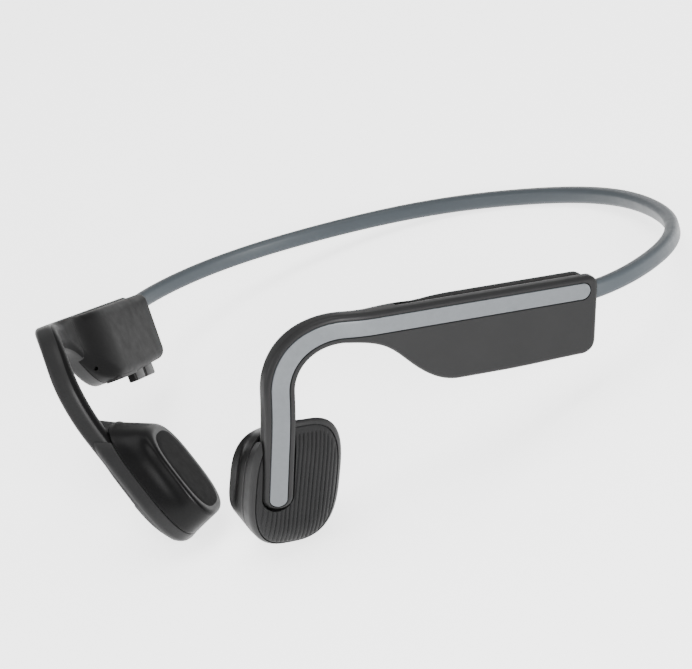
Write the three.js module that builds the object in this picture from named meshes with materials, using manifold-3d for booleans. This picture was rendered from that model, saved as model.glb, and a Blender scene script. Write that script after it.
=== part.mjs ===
// Bone conduction headphones: two ear modules joined by a springy neckband.
// Millimetres. +X is the wearer's left, -Y the front, +Z up. The headset rests
// on its two transducers and the back of the band.
import * as THREE from 'three';
import { mergeVertices } from 'three/addons/utils/BufferGeometryUtils.js';
import Module from 'manifold-3d';

const wasm = await Module();
wasm.setup();

// ---- driving dimensions ----
const GAP = 0.3;                 // clearance between separate pieces
const REST_TILT = -0.314;         // degrees about X that puts the headset on its three feet
const REST_LIFT = 1.747;          // height of the design frame above the table
const REST_FORWARD = 1.68;       // centres the headset front to back

// pod frame: x runs from the band to the hook, y up, z inwards
const POD_ORIGIN = [61.9, -6.7, 18.5];
const POD_HEADING = 29.9;        // degrees, inwards from straight ahead
const POD_PITCH = 24.9;          // degrees, upwards

const PLATE_THICK = 3.0;         // outer shell at the pod
const POD_THICK = 7.5;           // outer face to inner face of the pod
const WALL = 1.2;
const POD_TOP = 2.65;
const POD_BOTTOM = -12.6;
const POD_REAR = -4.8;

const ARM_WIDTH = 5.3;
const ARM_THICK = 4.8;
const HOOK_RADIUS = 11.3;
const HOOK_START = 44.8;
const HOOK_TURN = 92;            // degrees
const ARM_DROP = 22.1;           // straight part below the hook
const ARM_START = 34.6;          // where the arm leaves the pod
const HOOK_INSET = 6.4;          // inward shift of the hook
const INSET_FROM = 39.5;         // where the hook starts to curve in
const INSET_OVER = 23.5;
const ARM_TILT = 18.5;           // degrees, inward lean of the lower arm
const TILT_FROM = 6;             // below this the arm starts to lean

const STRIP_WIDTH = 3.0;
const STRIP_DEPTH = 0.9;
const STRIP_REAR = -3.1;
const CHANNEL_WIDTH = 1.9;
const CHANNEL_DEPTH = 3.2;

// transducer frame: x forward, y up the arm, z inwards to the head
const HEAD_ORIGIN = [54.8, -32];
const COVER_DEPTH = 5.2;
const HEAD_DEPTH = 12.2;
const PLATE_INSET = 0.9;
const RIB_PITCH = 0.82;
const EXCITER = [-1.6, -4.2];    // centre of the driver
const SWITCH = [-6.5, -1.1];     // under the multifunction button

const VOLUME_CENTRES = { volume_up_button: 11.5, volume_down_button: 5.4 };
const VOLUME_LENGTH = 5.3;
const VOLUME_Z = 4.6;            // mid depth of the volume keys
const KEY_Z = 4.95;              // mid depth of the port and the light
const PORT_X = 20.4;

// neckband: a flat curve in a plane that falls towards the back
const BAND_TILT = 15.3;
const BAND_LEVEL = 15.35;
const BAND_HEIGHT = 3.3;
const BAND_THICK = 2.8;
const BAND_BACK = 56.9;
const BAND_HALF_WIDTH = 65.0;
const BAND_SIDE = 8.8;           // where the band is widest
const BAND_SHOULDER = [43.6, 43.6];
const BAND_DIAGONAL = 35.5;      // degrees, direction at the shoulder
const BAND_END = [60.2, -4.2];   // inside the pod
const BAND_STEPS = 40;

const COLOURS = {
  shell: [0x3d3e40, 0.55, 0.0],
  soft: [0x2e2f31, 0.75, 0.0],
  band: [0x76808a, 0.7, 0.0],
  strip: [0x949aa0, 0.35, 0.6],
  rubber: [0x1e1f20, 0.85, 0.0],
  steel: [0xb4b6b8, 0.3, 1.0],
  magnet: [0x8c8f94, 0.25, 1.0],
  copper: [0xb46a34, 0.4, 0.9],
  titanium: [0x9c9a96, 0.4, 1.0],
  board: [0x1d4a34, 0.5, 0.0],
  battery: [0x8d949b, 0.4, 0.3],
  foam: [0x2a2a2c, 0.95, 0.0],
  clear: [0xe6ecef, 0.2, 0.0],
};

const radians = THREE.MathUtils.degToRad;

// ---- solids and booleans ----
function toSolid(geometry) {
  const bare = geometry.clone();
  bare.deleteAttribute('normal');
  bare.deleteAttribute('uv');
  const merged = mergeVertices(bare, 1e-4);
  return new wasm.Manifold(new wasm.Mesh({
    numProp: 3,
    vertProperties: new Float32Array(merged.attributes.position.array),
    triVerts: new Uint32Array(merged.index.array),
  }));
}

function toGeometry(solid) {
  const mesh = solid.getMesh();
  const geometry = new THREE.BufferGeometry();
  geometry.setAttribute('position', new THREE.BufferAttribute(mesh.vertProperties.slice(), 3));
  geometry.setIndex(new THREE.BufferAttribute(mesh.triVerts.slice(), 1));
  geometry.computeVertexNormals();
  return geometry;
}

function cut(base, ...tools) {
  return toGeometry(tools.reduce((solid, tool) => solid.subtract(toSolid(tool)), toSolid(base)));
}

function join(base, ...others) {
  return toGeometry(others.reduce((solid, other) => solid.add(toSolid(other)), toSolid(base)));
}

function common(first, second) {
  return toGeometry(toSolid(first).intersect(toSolid(second)));
}

function mirrorZ(geometry) {
  const flipped = mergeVertices(stripped(geometry), 1e-5);
  flipped.scale(1, 1, -1);
  const index = flipped.index.array;
  for (let i = 0; i < index.length; i += 3) {
    const first = index[i];
    index[i] = index[i + 1];
    index[i + 1] = first;
  }
  return flipped;
}

function stripped(geometry) {
  const bare = geometry.clone();
  bare.deleteAttribute('normal');
  bare.deleteAttribute('uv');
  return bare;
}

function reshape(geometry, move) {
  const moved = geometry.clone();
  const position = moved.attributes.position;
  const point = new THREE.Vector3();
  for (let i = 0; i < position.count; i += 1) {
    point.fromBufferAttribute(position, i);
    move(point);
    position.setXYZ(i, point.x, point.y, point.z);
  }
  return moved;
}

// a box from its lowest and highest corners
function block(low, high) {
  const size = high.map((value, axis) => value - low[axis]);
  const geometry = new THREE.BoxGeometry(...size);
  geometry.translate(...low.map((value, axis) => value + size[axis] / 2));
  return geometry;
}

function disc(radius, low, high, segments = 18) {
  const geometry = new THREE.CylinderGeometry(radius, radius, high - low, segments);
  geometry.rotateX(Math.PI / 2);
  geometry.translate(0, 0, (low + high) / 2);
  return geometry;
}

// a ring about Z
function ring(inner, outer, low, high, segments = 18) {
  const profile = [[inner, low], [outer, low], [outer, high], [inner, high], [inner, low]];
  const geometry = new THREE.LatheGeometry(profile.map(([r, z]) => new THREE.Vector2(r, z)), segments);
  geometry.rotateX(Math.PI / 2);
  return geometry;
}

function roundedRect(x0, y0, x1, y1, radius) {
  const shape = new THREE.Shape();
  shape.moveTo(x0 + radius, y0);
  shape.lineTo(x1 - radius, y0);
  shape.absarc(x1 - radius, y0 + radius, radius, -Math.PI / 2, 0);
  shape.lineTo(x1, y1 - radius);
  shape.absarc(x1 - radius, y1 - radius, radius, 0, Math.PI / 2);
  shape.lineTo(x0 + radius, y1);
  shape.absarc(x0 + radius, y1 - radius, radius, Math.PI / 2, Math.PI);
  shape.lineTo(x0, y0 + radius);
  shape.absarc(x0 + radius, y0 + radius, radius, Math.PI, Math.PI * 1.5);
  return shape;
}

// an outline extruded from z = low to z = high, with its edges rounded over
function slab(shape, low, high, round = 0, curveSegments = 6) {
  const geometry = new THREE.ExtrudeGeometry(shape, {
    depth: high - low - 2 * round,
    curveSegments,
    bevelEnabled: round > 0,
    bevelThickness: round,
    bevelSize: round,
    bevelOffset: -round,
    bevelSegments: 2,
  });
  geometry.translate(0, 0, low + round);
  return geometry;
}

// ---- the pod, hook and arm ----
const smooth = (t) => t * t * (3 - 2 * t);

function arcThenSlope(distance, radius, degrees) {
  const angle = radians(degrees);
  const reach = radius * Math.sin(angle);
  if (distance <= 0) return 0;
  if (distance < reach) return radius - Math.sqrt(radius * radius - distance * distance);
  return radius * (1 - Math.cos(angle)) + Math.tan(angle) * (distance - reach);
}

// how far the side curves in towards the head
function inset(x, y) {
  const along = (from, over) => smooth(THREE.MathUtils.clamp((x - from) / over, 0, 1));
  const lean = arcThenSlope(-y - TILT_FROM, 48, ARM_TILT);
  return HOOK_INSET * along(INSET_FROM, INSET_OVER) + lean * along(36, 10);
}

const curveIn = (geometry) => reshape(geometry, (p) => { p.z += inset(p.x, p.y); });

// curves a flat slab in slices, so that its long faces follow the bend
function curveSlices(geometry) {
  const bounds = [-20, INSET_FROM, 41, 42.5, 46];
  const whole = toSolid(geometry);
  let curved = null;
  for (let i = 1; i < bounds.length; i += 1) {
    const slice = whole.intersect(toSolid(block([bounds[i - 1], -30, -30], [bounds[i], 30, 30])));
    if (!slice.isEmpty()) {
      const piece = toSolid(curveIn(toGeometry(slice)));
      curved = curved ? curved.add(piece) : piece;
    }
  }
  return toGeometry(curved);
}

function armPath(startX, drop = ARM_DROP) {
  const turn = radians(HOOK_TURN);
  const centre = new THREE.Vector3(HOOK_START, -HOOK_RADIUS, 0);
  const handle = (4 / 3) * Math.tan(turn / 4) * HOOK_RADIUS;
  const top = new THREE.Vector3(HOOK_START, 0, 0);
  const end = new THREE.Vector3(Math.sin(turn), Math.cos(turn), 0).multiplyScalar(HOOK_RADIUS).add(centre);
  const heading = new THREE.Vector3(Math.cos(turn), -Math.sin(turn), 0);
  const path = new THREE.CurvePath();
  path.add(new THREE.LineCurve3(new THREE.Vector3(startX, 0, 0), top));
  path.add(new THREE.CubicBezierCurve3(
    top,
    top.clone().add(new THREE.Vector3(handle, 0, 0)),
    end.clone().addScaledVector(heading, -handle),
    end,
  ));
  path.add(new THREE.LineCurve3(end, end.clone().addScaledVector(heading, drop)));
  return path;
}

// a section swept along the arm: y is across the arm, z its depth
function armSweep(startX, drop, width, low, high, radius, spacing = 3) {
  const section = radius > 0
    ? roundedRect(-high, -width / 2, -low, width / 2, radius)
    : new THREE.Shape([[-high, -width / 2], [-low, -width / 2], [-low, width / 2], [-high, width / 2]]
      .map(([x, y]) => new THREE.Vector2(x, y)));
  const path = armPath(startX, drop);
  const geometry = new THREE.ExtrudeGeometry(section, {
    steps: Math.round(path.getLength() / spacing),
    curveSegments: 2,
    extrudePath: path,
    bevelEnabled: false,
  });
  return curveIn(geometry);
}

function armEnd(drop) {
  return armPath(ARM_START, drop).getPoint(1);
}

// the round end of the arm and of what runs in it
function armTip(width, low, high, drop) {
  const tip = disc(width / 2, low, high);
  const end = armEnd(drop);
  tip.translate(end.x, end.y, 0);
  return curveIn(tip);
}

function podOutline(inward, corner) {
  const top = POD_TOP - inward;
  const bottom = POD_BOTTOM + inward;
  const rear = POD_REAR + inward;
  const shape = new THREE.Shape();
  shape.moveTo(rear + corner, top);
  shape.quadraticCurveTo(rear - 0.1, top, rear, top - corner);
  shape.lineTo(rear + 1.1, bottom + 2.6);
  shape.quadraticCurveTo(rear + 1.5, bottom + 0.6, rear + 3.8, bottom + 0.5);
  shape.lineTo(23.2 - inward, bottom);
  shape.bezierCurveTo(26.7 - inward, bottom, 29.6 - inward, -10.9, 32.6 - inward, -8.2);
  shape.bezierCurveTo(36 - inward, -5.1, 37.8 - inward, inward - 2.7, 44 - inward, inward - 2.65);
  shape.lineTo(44 - inward, top);
  shape.lineTo(rear + corner, top);
  return new THREE.Shape(shape.getSpacedPoints(44).slice(0, -1));
}

// seen from above: flat at the back, falling to the arm's thickness in front
function podPlan() {
  const shape = new THREE.Shape();
  const inner = PLATE_THICK + GAP;
  shape.moveTo(POD_REAR - 1, inner);
  shape.lineTo(ARM_START - GAP, inner);
  shape.lineTo(ARM_START - GAP, ARM_THICK);
  shape.bezierCurveTo(31.5, ARM_THICK, 29.5, POD_THICK, 22, POD_THICK);
  shape.lineTo(POD_REAR + 3, POD_THICK);
  shape.quadraticCurveTo(POD_REAR - 0.2, POD_THICK, POD_REAR - 0.2, POD_THICK - 2.6);
  shape.lineTo(POD_REAR - 1, inner + 0.2);
  return shape;
}

function planSlab() {
  const geometry = slab(podPlan(), 0, 24, 0, 8);
  geometry.rotateX(Math.PI / 2);
  return reshape(geometry, (p) => { p.y += 6; });
}

// the slanted facet at the lower front corner of the inner shell
const FACET_TOP = new THREE.Vector3(36.5, -4, 3.6);
const FACET_REAR = new THREE.Vector3(26, -11, 7.3);
const FACET_LOW = new THREE.Vector3(30.5, -10.5, 4.0);

function facetTool() {
  const along = FACET_REAR.clone().sub(FACET_TOP).normalize();
  const across = FACET_LOW.clone().sub(FACET_TOP);
  const normal = new THREE.Vector3().crossVectors(along, across).normalize();
  if (normal.y > 0) normal.negate();
  const side = new THREE.Vector3().crossVectors(normal, along);
  const tool = block([-40, -40, 0], [40, 40, 20]);
  tool.applyMatrix4(new THREE.Matrix4().makeBasis(along, side, normal));
  tool.translate(...FACET_TOP);
  return tool;
}

// a small round hole from one point to another
function hole(from, to, radius) {
  const direction = to.clone().sub(from);
  const geometry = new THREE.CylinderGeometry(radius, radius, direction.length(), 10);
  geometry.applyQuaternion(new THREE.Quaternion().setFromUnitVectors(
    new THREE.Vector3(0, 1, 0),
    direction.clone().normalize(),
  ));
  geometry.translate(...from.clone().add(to).multiplyScalar(0.5));
  return geometry;
}

const microphoneHole = () => hole(new THREE.Vector3(32.3, -9.3, 5.4), new THREE.Vector3(27.8, -8.2, 2.6), 0.4);

// the end of the band, grown by a clearance, in the pod frame
function bandSocket() {
  const sweep = bandSweep(bandSection(GAP), 0);
  sweep.applyMatrix4(bandMatrix());
  return sweep.applyMatrix4(podMatrix(1).invert());
}

function outerShell() {
  const plate = curveSlices(slab(podOutline(0, 1.5), 0, PLATE_THICK, 0.8));
  const arm = armSweep(ARM_START, ARM_DROP, ARM_WIDTH, 0, ARM_THICK, 1.1);
  const tip = armTip(ARM_WIDTH - 0.02, 0.15, ARM_THICK - 0.15, ARM_DROP);
  const groove = armSweep(STRIP_REAR, ARM_DROP - 0.3, STRIP_WIDTH + 2 * GAP, -1, STRIP_DEPTH + GAP, 0);
  const channel = armSweep(27, ARM_DROP - 2, CHANNEL_WIDTH, 0.5, CHANNEL_DEPTH, 0);
  const pocket = block([-1.6, POD_BOTTOM + 1.9, WALL], [25.5, -2.6, PLATE_THICK + 1]);
  return cut(join(plate, arm, tip), groove, channel, pocket, bandSocket());
}

function rightOuterShell() {
  const seat = block([25, -9.9, WALL], [28.6, -6.7, PLATE_THICK + 1]);
  return cut(outerShell(), seat, microphoneHole());
}

function accentStrip() {
  return armSweep(STRIP_REAR + GAP, ARM_DROP - 0.6, STRIP_WIDTH, 0, STRIP_DEPTH, 0);
}

function armLead() {
  return armSweep(28, ARM_DROP - 3, 1.2, 1.6, 2.7, 0);
}

function innerShell() {
  const body = common(slab(podOutline(0.25, 2.2), 0, POD_THICK, 1.0), planSlab());
  const hollow = block([-1.2, POD_BOTTOM + 1.9, 1], [25.2, 1.1, POD_THICK - 0.9]);
  return curveSlices(cut(body, facetTool(), hollow, bandSocket()));
}

// ---- the transducer ----
// a unit outline pulled through rectangles given as [z, x0, y0, x1, y1]
function loft(stations, exponent = 2.9, points = 24) {
  const outline = [];
  for (let i = 0; i < points; i += 1) {
    const angle = (i / points) * Math.PI * 2;
    const c = Math.cos(angle);
    const s = Math.sin(angle);
    outline.push(new THREE.Vector2(
      Math.sign(c) * Math.abs(c) ** (2 / exponent),
      Math.sign(s) * Math.abs(s) ** (2 / exponent),
    ));
  }
  const layers = stations.length - 1;
  const geometry = new THREE.ExtrudeGeometry(new THREE.Shape(outline), {
    depth: layers,
    steps: layers,
    bevelEnabled: false,
  });
  return reshape(geometry, (p) => {
    const [z, x0, y0, x1, y1] = stations[Math.round(p.z)];
    const across = p.x * (x1 - x0) / 2;
    const drop = HEAD_SHEAR * across * z / HEAD_DEPTH;
    p.set((x0 + x1) / 2 + across, (y0 + y1) / 2 + p.y * (y1 - y0) / 2 - drop, z);
  });
}

// the head narrows from the ribbed face to the face that touches the wearer
const OUTER_RECT = [-12.5, -15.4, 5.2, 15.4];
const CONTACT_RECT = [-8.6, -14.7, 6.0, 5.7];
const HEAD_SHEAR = 0.09;         // how much lower the front of the contact face sits

function headRect(z, inward = 0) {
  const t = z / HEAD_DEPTH;
  const low = (i) => THREE.MathUtils.lerp(OUTER_RECT[i], CONTACT_RECT[i], t);
  return [z, low(0) + inward, low(1) + inward, low(2) - inward, low(3) - inward];
}

function intoHead(geometry) {
  return geometry.clone().applyMatrix4(headMatrix().invert());
}

function headMatrix() {
  const [x, y] = HEAD_ORIGIN;
  const matrix = new THREE.Matrix4().makeRotationX(-radians(ARM_TILT));
  return matrix.setPosition(x, y, inset(x, y));
}

// the arm's lower end, grown by a clearance, in the transducer frame
function armRecess(grow, low, high) {
  const sweep = armSweep(ARM_START, ARM_DROP, ARM_WIDTH + 2 * grow, low, high, 0);
  return [intoHead(sweep), intoHead(armTip(ARM_WIDTH + 2 * grow, low, high, ARM_DROP))];
}

// how deep the rim and the plate lie at a distance in from the edge of the domed outer face
const DOME = [[3.6, 0.2], [2.4, 0.5], [1.7, 0.95], [1.2, 1.4], [0.5, 2.1], [0.05, 2.9]];
const domeRings = (from, to) => DOME
  .filter(([away]) => away <= from && away >= to)
  .map(([away, depth]) => headRect(depth, away));
const PLATE_BACK = 2.6;
const SEAT_FLOOR = PLATE_BACK + 0.5;

function transducerCover() {
  const body = loft([...domeRings(1.7, 0), headRect(COVER_DEPTH)]);
  const seat = loft([headRect(-1, PLATE_INSET), headRect(SEAT_FLOOR, PLATE_INSET)]);
  const clearance = armRecess(GAP, -6, ARM_THICK + 1);
  const room = loft([headRect(1, 2), headRect(COVER_DEPTH + 1, 2)]);
  const bridge = block([-4.6, -20, SEAT_FLOOR], [8, 20, COVER_DEPTH + 2]);
  return cut(body, seat, ...clearance, cut(room, bridge));
}

function ribbedPlate() {
  const edge = PLATE_INSET + GAP;
  const plate = loft([...domeRings(4, edge), headRect(PLATE_BACK, edge)]);
  const grooves = [];
  for (let x = OUTER_RECT[0] + 2.3; x < OUTER_RECT[2] - 1.4; x += RIB_PITCH) {
    grooves.push(block([x - 0.16, -13.4, -1], [x + 0.16, 13.6, 0.5]));
  }
  return cut(plate, ...grooves, ...armRecess(GAP + 0.05, -6, 6));
}

function transducerHousing() {
  const seam = COVER_DEPTH + GAP;
  const body = loft([
    headRect(seam),
    headRect(HEAD_DEPTH - 2.6, 0.15),
    headRect(HEAD_DEPTH - 1.4, 0.7),
    headRect(HEAD_DEPTH - 0.8, 1.5),
  ]);
  const bore = disc(5.6, seam - 1, HEAD_DEPTH - 1.9);
  bore.translate(...EXCITER, 0);
  const room = loft([headRect(seam - 1, 1.5), headRect(7.4, 1.5)]);
  const window = loft([headRect(HEAD_DEPTH - 2.5, 2.6), headRect(HEAD_DEPTH, 2.6)]);
  return cut(body, bore, room, window);
}

function contactPad() {
  return loft([
    headRect(HEAD_DEPTH - 1.6, 2.95),
    headRect(HEAD_DEPTH - 0.7, 2.95),
    headRect(HEAD_DEPTH - 0.25, 3.2),
    headRect(HEAD_DEPTH, 3.9),
  ]);
}

const atExciter = (geometry) => geometry.translate(...EXCITER, 0);

const vibrationPlate = () => atExciter(ring(1.6, 5.2, HEAD_DEPTH - 2.4, HEAD_DEPTH - 2.05));
const voiceCoil = () => atExciter(ring(3.5, 4.0, 7.6, 9.5));
const magnet = () => atExciter(disc(3.0, 7.0, 8.9));

function yoke() {
  return atExciter(join(disc(5.1, 5.7, 6.7), ring(4.4, 5.1, 6.6, 8.9)));
}

// ---- the neckband ----
function bandHalf() {
  const at = (x, y) => new THREE.Vector3(x, y, 0);
  const slope = radians(BAND_DIAGONAL);
  const heading = at(Math.cos(slope), -Math.sin(slope));
  const shoulder = at(...BAND_SHOULDER);
  const side = at(BAND_HALF_WIDTH, BAND_SIDE);
  const path = new THREE.CurvePath();
  path.add(new THREE.CubicBezierCurve3(
    at(0, BAND_BACK),
    at(19, BAND_BACK),
    shoulder.clone().addScaledVector(heading, -15),
    shoulder,
  ));
  path.add(new THREE.CubicBezierCurve3(
    shoulder,
    shoulder.clone().addScaledVector(heading, 15.3),
    at(BAND_HALF_WIDTH, BAND_SIDE + 15.3),
    side,
  ));
  path.add(new THREE.CubicBezierCurve3(
    side,
    at(BAND_HALF_WIDTH, BAND_SIDE - 4.5),
    at(64, -0.8),
    at(...BAND_END),
  ));
  return path;
}

function bandPath(trim) {
  const half = bandHalf();
  const count = 60;
  const last = 1 - trim / half.getLength();
  const right = [];
  for (let i = count; i > 0; i -= 1) {
    const p = half.getPointAt((i / count) * last);
    right.push(new THREE.Vector3(-p.x, p.y, 0));
  }
  const left = [];
  for (let i = 0; i <= count; i += 1) {
    left.push(half.getPointAt((i / count) * last));
  }
  return new THREE.CatmullRomCurve3([...right, ...left]);
}

function bandSweep(shape, trim) {
  return new THREE.ExtrudeGeometry(shape, {
    steps: BAND_STEPS,
    curveSegments: 2,
    extrudePath: bandPath(trim),
    bevelEnabled: false,
  });
}

function bandSection(grow = 0) {
  const height = BAND_HEIGHT / 2 + grow;
  const thick = BAND_THICK / 2 + grow;
  return roundedRect(-height, -thick, height, thick, 0.8);
}

const BAND_BORE = [[-1.2, -0.75], [1.2, -0.75], [1.2, 0.75], [-1.2, 0.75]];

function bandSleeve() {
  const bore = bandSweep(new THREE.Shape(BAND_BORE.map(([x, y]) => new THREE.Vector2(x, y))), 0);
  return cut(bandSweep(bandSection(), 0.7), bore);
}

function bandRod(x, y, radius, trim) {
  const shape = new THREE.Shape();
  shape.absarc(x, y, radius, 0, Math.PI * 2);
  const rod = new THREE.Shape(shape.getSpacedPoints(6).slice(0, -1));
  return bandSweep(rod, trim);
}

// ---- what the pods hold ----
function volumeKey(name, grow = 0) {
  const half = VOLUME_LENGTH / 2 + grow;
  const x = VOLUME_CENTRES[name];
  const stem = block(
    [x - half, POD_BOTTOM - 1.9 - grow, grow > 0 ? PLATE_THICK : VOLUME_Z - 1],
    [x + half, -9.7 + grow, VOLUME_Z + 1 + grow],
  );
  const flange = block([x - half - 0.3, -9.9, VOLUME_Z - 1.3], [x + half + 0.3, -9.5, VOLUME_Z + 1.3]);
  return grow > 0 ? stem : join(stem, flange);
}

function keySwitch(name) {
  const x = VOLUME_CENTRES[name];
  return join(
    block([x - 1.7, -8.3, KEY_Z - 1.2], [x + 1.7, -7.0, KEY_Z + 1.2]),
    block([x - 0.7, -8.95, KEY_Z - 0.7], [x + 0.7, -8.2, KEY_Z + 0.7]),
  );
}

const PORT = { halfWidth: 4.3, halfDepth: 1.45, mouth: -11.0, back: -4.2 };

function usbReceptacle() {
  const { halfWidth, halfDepth, mouth, back } = PORT;
  const depth = back - mouth;
  const outline = (inward, radius) => roundedRect(
    PORT_X - halfWidth + inward,
    KEY_Z - halfDepth + inward,
    PORT_X + halfWidth - inward,
    KEY_Z + halfDepth - inward,
    radius,
  );
  const shell = cut(slab(outline(0, 1.2), 0, depth, 0, 3), slab(outline(0.3, 0.9), -1, depth - 0.6, 0, 3));
  const tongue = block([PORT_X - 3.3, KEY_Z - 0.3, 1.6], [PORT_X + 3.3, KEY_Z + 0.3, depth - 0.3]);
  return standUp(join(shell, tongue), mouth);
}

// turns a piece modelled along +Z so that it runs along +Y from y = base
function standUp(geometry, base) {
  return reshape(mirrorZ(geometry), (p) => p.set(p.x, base - p.z, p.y));
}

function usbCover() {
  const low = POD_BOTTOM - 0.25;
  const lid = block([PORT_X - 5.0, low, KEY_Z - 1.8], [PORT_X + 5.0, low + 0.8, KEY_Z + 1.8]);
  const plug = block([PORT_X - 3.6, low + 0.7, KEY_Z - 0.75], [PORT_X + 3.6, low + 2.2, KEY_Z + 0.75]);
  const lip = block([PORT_X - 5.4, low, KEY_Z - 0.8], [PORT_X - 4.9, low + 0.5, KEY_Z + 0.8]);
  return join(lid, plug, lip);
}

function rightInnerShell() {
  const seat = block([PORT_X - 5.6, -20, KEY_Z - 2.0], [PORT_X + 5.3, POD_BOTTOM + 0.9, KEY_Z + 2.0]);
  const mouth = block([PORT_X - 4.6, -20, KEY_Z - 1.65], [PORT_X + 4.6, POD_BOTTOM + 3, KEY_Z + 1.65]);
  const keys = Object.keys(VOLUME_CENTRES).map((name) => volumeKey(name, 0.25));
  const light = block([-1.3, -20, KEY_Z - 0.5], [-0.3, -9, KEY_Z + 0.5]);
  return cut(innerShell(), seat, mouth, ...keys, microphoneHole(), light);
}

// ---- assembly ----
const headset = new THREE.Group();
headset.rotation.x = radians(REST_TILT);
headset.position.set(0, REST_FORWARD, REST_LIFT);

function addPiece(group, name, geometry, colour) {
  const [color, roughness, metalness] = COLOURS[colour];
  const mesh = new THREE.Mesh(geometry, new THREE.MeshStandardMaterial({ color, roughness, metalness }));
  mesh.name = name;
  group.add(mesh);
}

function podBasis(side) {
  const heading = radians(POD_HEADING);
  const pitch = radians(POD_PITCH);
  const forward = new THREE.Vector3(
    -side * Math.sin(heading) * Math.cos(pitch),
    -Math.cos(heading) * Math.cos(pitch),
    Math.sin(pitch),
  );
  const up = new THREE.Vector3(
    side * Math.sin(heading) * Math.sin(pitch),
    Math.cos(heading) * Math.sin(pitch),
    Math.cos(pitch),
  );
  return new THREE.Matrix4().makeBasis(forward, up, new THREE.Vector3().crossVectors(forward, up));
}

function podMatrix(side) {
  return podBasis(side).setPosition(side * POD_ORIGIN[0], POD_ORIGIN[1], POD_ORIGIN[2]);
}

function bandMatrix() {
  return new THREE.Matrix4().makeRotationX(-radians(BAND_TILT)).setPosition(0, 0, BAND_LEVEL);
}

// side is 1 on the wearer's left and -1 on the right, where depth runs along -Z
function earModule(side) {
  const label = side > 0 ? 'left' : 'right';
  const handed = (geometry) => (side > 0 ? geometry : mirrorZ(geometry));
  const pod = new THREE.Group();
  pod.setRotationFromMatrix(podBasis(side));
  pod.position.set(side * POD_ORIGIN[0], POD_ORIGIN[1], POD_ORIGIN[2]);
  const head = new THREE.Group();
  const [x, y] = HEAD_ORIGIN;
  head.position.set(x, y, side * inset(x, y));
  head.rotation.x = -side * radians(ARM_TILT);
  pod.add(head);
  headset.add(pod);

  const podPiece = (name, geometry, colour) => addPiece(pod, name, handed(geometry), colour);
  const headPiece = (name, geometry, colour) => addPiece(head, name, handed(geometry), colour);

  podPiece(`${label}_outer_shell`, side > 0 ? outerShell() : rightOuterShell(), 'shell');
  podPiece(`${label}_accent_strip`, accentStrip(), 'strip');
  podPiece(`${label}_arm_lead`, armLead(), 'copper');
  headPiece(`${label}_transducer_cover`, transducerCover(), 'shell');
  headPiece(side > 0 ? 'multifunction_button' : 'right_ribbed_plate', ribbedPlate(), 'shell');
  headPiece(`${label}_transducer_housing`, transducerHousing(), 'soft');
  headPiece(`${label}_contact_pad`, contactPad(), 'soft');
  headPiece(`${label}_vibration_plate`, vibrationPlate(), 'steel');
  headPiece(`${label}_voice_coil`, voiceCoil(), 'copper');
  headPiece(`${label}_magnet`, magnet(), 'magnet');
  headPiece(`${label}_yoke`, yoke(), 'steel');
  return { podPiece, headPiece };
}

function leftModule() {
  const { podPiece, headPiece } = earModule(1);
  podPiece('left_inner_shell', innerShell(), 'shell');
  podPiece('battery', slab(roundedRect(-1.2, -9.8, 15.8, 0.7, 0.8), 3.5, 6.2, 0, 2), 'battery');
  podPiece('battery_pad', block([0, -8.5, 1.5], [14, -3, 3.2]), 'foam');
  podPiece('protection_board', block([17, -9.6, 2.2], [25, -3, 3.0]), 'board');
  headPiece('multifunction_switch', join(
    block([SWITCH[0] - 1.5, SWITCH[1] - 1.5, 3.4], [SWITCH[0] + 1.5, SWITCH[1] + 1.5, 4.8]),
    disc(0.8, SEAT_FLOOR - 0.05, 3.5, 12).translate(...SWITCH, 0),
  ), 'steel');
}

function rightModule() {
  const { podPiece } = earModule(-1);
  podPiece('right_inner_shell', rightInnerShell(), 'shell');
  podPiece('main_board', block([-1.2, -9.8, 1.6], [25, -3.2, 2.4]), 'board');
  podPiece('radio_shield', block([2, -6.4, 3.6], [13, 0.4, 6.2]), 'steel');
  podPiece('usb_receptacle', usbReceptacle(), 'steel');
  podPiece('usb_cover', usbCover(), 'rubber');
  podPiece('microphone', block([26, -9.5, 1.6], [28.2, -7.1, 2.8]), 'steel');
  podPiece('status_light_pipe', block([-1.1, -11.8, KEY_Z - 0.3], [-0.5, -9.2, KEY_Z + 0.3]), 'clear');
  for (const name of Object.keys(VOLUME_CENTRES)) {
    podPiece(name, volumeKey(name), 'soft');
    podPiece(name.replace('button', 'switch'), keySwitch(name), 'steel');
  }
}

function neckband() {
  const band = new THREE.Group();
  band.rotation.x = -radians(BAND_TILT);
  band.position.z = BAND_LEVEL;
  headset.add(band);
  addPiece(band, 'band_sleeve', bandSleeve(), 'band');
  addPiece(band, 'band_core_wire', bandRod(-0.45, 0, 0.4, 0.9), 'titanium');
  addPiece(band, 'band_cable', bandRod(0.55, 0, 0.4, 0.9), 'copper');
}

leftModule();
rightModule();
neckband();

export default headset;
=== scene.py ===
import math

import bmesh
import bpy
import numpy as np
from mathutils import Matrix, Vector


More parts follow.
